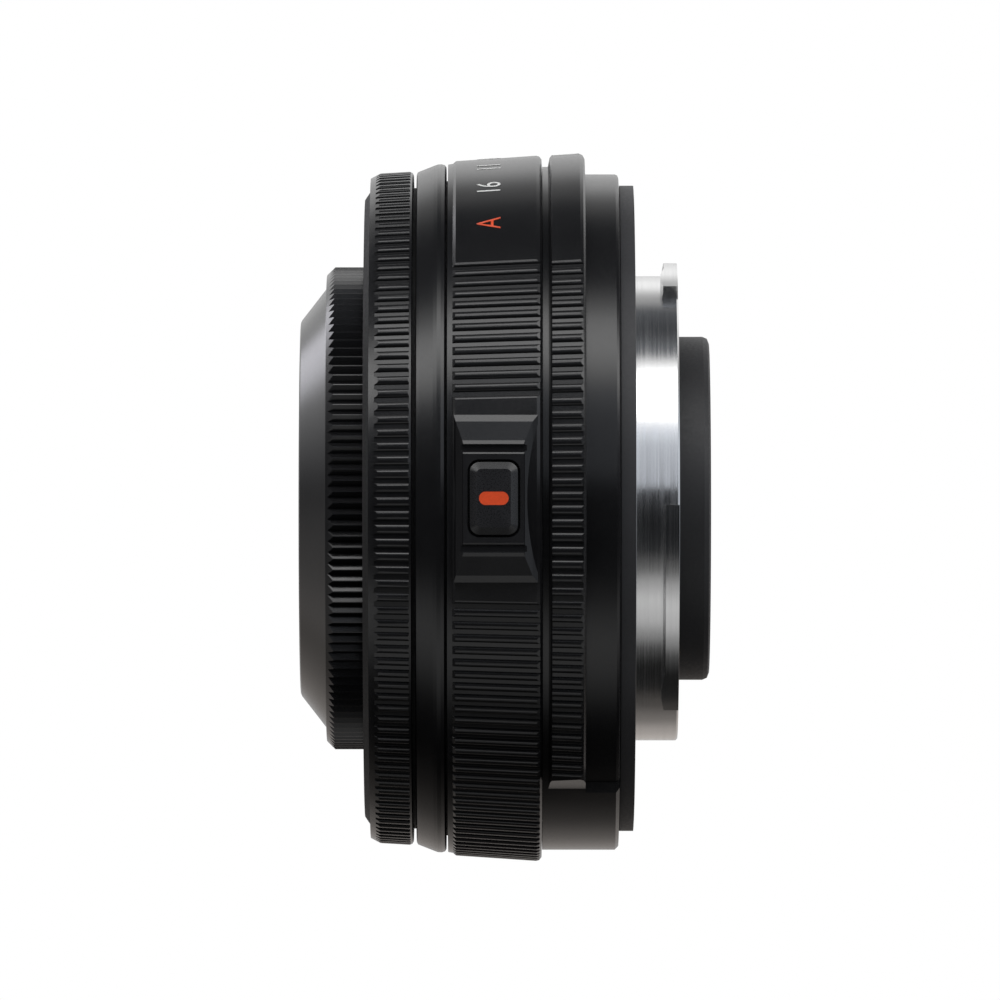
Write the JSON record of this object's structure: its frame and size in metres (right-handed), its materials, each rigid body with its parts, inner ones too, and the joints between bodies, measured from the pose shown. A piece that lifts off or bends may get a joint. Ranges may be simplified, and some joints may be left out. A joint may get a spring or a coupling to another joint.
{
  "type": "prime camera lens",
  "caption": "Compact prime camera lens with a ribbed focus ring, a click-stop aperture ring with a release button, a knurled screw-in hood and a bayonet mount.",
  "frame": {"origin": "centre of the bayonet flange's rear face, on the optical axis", "axes": "+X along the optical axis towards the camera, so the front of the lens faces -X; +Z towards the index mark; -Y towards the release button"},
  "size_m": [0.0357, 0.0626, 0.0618],
  "materials": {
    "black_metal": "satin black anodised",
    "inner_metal": "matte black anodised",
    "black_plastic": "fine matte black",
    "gasket_rubber": "soft black",
    "bright_chrome": "satin chrome plate",
    "screw_steel": "zinc-nickel plate",
    "plain_steel": "bright",
    "contact_gold": "gold plate",
    "gear_brass": "machined",
    "board_green": "solder mask",
    "chip_black": "moulded",
    "slip_polymer": "low-friction polymer",
    "inner_plastic": "glass-filled, matte black",
    "button_black": "satin black anodised",
    "mark_red": "red-orange paint",
    "blade_black": "dry black coat",
    "coated_glass": "coated optical glass"
  },
  "bodies": {
    "barrel": {"rear_barrel": "black_metal", "smooth_band": "black_metal", "front_cover": "black_metal", "base_ring": "black_plastic", "mount_gasket": "gasket_rubber", "bayonet_mount": "bright_chrome", "mount_screws": "screw_steel", "rear_baffle": "black_plastic", "baffle_screws": "screw_steel", "contact_block": "black_plastic", "contact_pins": "contact_gold", "main_board": "board_green", "board_chips": "chip_black", "guide_sleeve": "inner_plastic", "drive_screws": "screw_steel", "gear_plate": "inner_metal", "focus_motor": "plain_steel", "focus_slip_ring": "slip_polymer", "aperture_slip_ring": "slip_polymer", "ring_sensors": "chip_black", "click_ball": "plain_steel", "click_spring": "plain_steel"},
    "focus_control": {"focus_ring": "black_metal", "focus_comb": "black_plastic"},
    "aperture_control": {"aperture_ring": "black_metal", "button_plate": "inner_metal", "button_spring": "plain_steel"},
    "release_button": {"lock_button": "button_black", "button_mark": "mark_red"},
    "cam": {"cam_ring": "inner_metal"},
    "drive_pinion": {"motor_pinion": "gear_brass"},
    "focus_unit": {"inner_barrel": "inner_plastic", "follower_pins": "plain_steel", "name_ring": "black_plastic", "front_cell": "inner_plastic", "front_retainer": "inner_metal", "doublet_retainer": "inner_metal", "rear_cell": "inner_plastic", "rear_spacer": "inner_plastic", "rear_retainer": "inner_metal", "element_1": "coated_glass", "element_2": "coated_glass", "element_3": "coated_glass", "element_4": "coated_glass", "element_5": "coated_glass", "element_6": "coated_glass", "element_7": "coated_glass", "iris_base": "black_plastic", "iris_motor": "plain_steel"},
    "iris_drive": {"iris_ring": "black_plastic"},
    "iris_drive_pinion": {"iris_pinion": "gear_brass"},
    "blade_1": {"iris_blade_1": "blade_black"},
    "blade_2": {"iris_blade_2": "blade_black"},
    "blade_3": {"iris_blade_3": "blade_black"},
    "blade_4": {"iris_blade_4": "blade_black"},
    "blade_5": {"iris_blade_5": "blade_black"},
    "blade_6": {"iris_blade_6": "blade_black"},
    "blade_7": {"iris_blade_7": "blade_black"},
    "sun_hood": {"hood": "black_metal"}
  },
  "joints": [
    {"name": "focus_turn", "type": "hinge", "parent": "barrel", "child": "focus_control", "pos_m": [-0.021, 0, 0], "axis": [1, 0, 0], "continuous": true},
    {"name": "aperture_turn", "type": "hinge", "parent": "barrel", "child": "aperture_control", "pos_m": [-0.012, 0, 0], "axis": [-1, 0, 0], "range_deg": [-33.6, 34.1]},
    {"name": "button_press", "type": "slide", "parent": "aperture_control", "child": "release_button", "axis": [0, 0.9996, -0.0279], "range_m": [0, 0.0006], "stiffness_N_per_m": 900, "springref_m": -0.0012, "deforming": ["button_spring"]},
    {"name": "cam_turn", "type": "hinge", "parent": "barrel", "child": "cam", "pos_m": [-0.015, 0, 0], "axis": [1, 0, 0], "range_deg": [0, 80.01]},
    {"name": "focus_extend", "type": "slide", "parent": "barrel", "child": "focus_unit", "axis": [-1, 0, 0], "range_m": [0, 0.0024]},
    {"name": "motor_spin", "type": "hinge", "parent": "barrel", "child": "drive_pinion", "pos_m": [-0.01, 0.01776, -0.00646], "axis": [1, 0, 0], "range_deg": [0, 1088.2]},
    {"name": "iris_turn", "type": "hinge", "parent": "focus_unit", "child": "iris_drive", "pos_m": [-0.0174, 0, 0], "axis": [1, 0, 0], "range_deg": [0, 4.67]},
    {"name": "iris_motor_spin", "type": "hinge", "parent": "focus_unit", "child": "iris_drive_pinion", "pos_m": [-0.0155, -0.00817, 0.01416], "axis": [1, 0, 0], "range_deg": [-46.29, 0]},
    {"name": "blade_1_swing", "type": "hinge", "parent": "focus_unit", "child": "blade_1", "pos_m": [-0.0184, 0.0086, 0], "axis": [1, 0, 0], "range_deg": [0, 30]},
    {"name": "blade_2_swing", "type": "hinge", "parent": "focus_unit", "child": "blade_2", "pos_m": [-0.0184, 0.00536, 0.00672], "axis": [1, 0, 0], "range_deg": [0, 30]},
    {"name": "blade_3_swing", "type": "hinge", "parent": "focus_unit", "child": "blade_3", "pos_m": [-0.0184, -0.00191, 0.00838], "axis": [1, 0, 0], "range_deg": [0, 30]},
    {"name": "blade_4_swing", "type": "hinge", "parent": "focus_unit", "child": "blade_4", "pos_m": [-0.0184, -0.00775, 0.00373], "axis": [1, 0, 0], "range_deg": [0, 30]},
    {"name": "blade_5_swing", "type": "hinge", "parent": "focus_unit", "child": "blade_5", "pos_m": [-0.0184, -0.00775, -0.00373], "axis": [1, 0, 0], "range_deg": [0, 30]},
    {"name": "blade_6_swing", "type": "hinge", "parent": "focus_unit", "child": "blade_6", "pos_m": [-0.0184, -0.00191, -0.00838], "axis": [1, 0, 0], "range_deg": [0, 30]},
    {"name": "blade_7_swing", "type": "hinge", "parent": "focus_unit", "child": "blade_7", "pos_m": [-0.0184, 0.00536, -0.00672], "axis": [1, 0, 0], "range_deg": [0, 30]},
    {"name": "hood_off", "type": "slide", "parent": "focus_unit", "child": "sun_hood", "axis": [-1, 0, 0], "range_m": [0, 0.012]}
  ],
  "couplings": [
    {"joint": "cam_turn", "follows": "focus_extend", "rad_per_m": 581.78},
    {"joint": "motor_spin", "follows": "focus_extend", "rad_per_m": 7912.2},
    {"joint": "iris_motor_spin", "follows": "iris_turn", "ratio": -9.9},
    {"joint": "blade_1_swing", "follows": "iris_turn", "ratio": 6.4175},
    {"joint": "blade_2_swing", "follows": "iris_turn", "ratio": 6.4175},
    {"joint": "blade_3_swing", "follows": "iris_turn", "ratio": 6.4175},
    {"joint": "blade_4_swing", "follows": "iris_turn", "ratio": 6.4175},
    {"joint": "blade_5_swing", "follows": "iris_turn", "ratio": 6.4175},
    {"joint": "blade_6_swing", "follows": "iris_turn", "ratio": 6.4175},
    {"joint": "blade_7_swing", "follows": "iris_turn", "ratio": 6.4175}
  ]
}
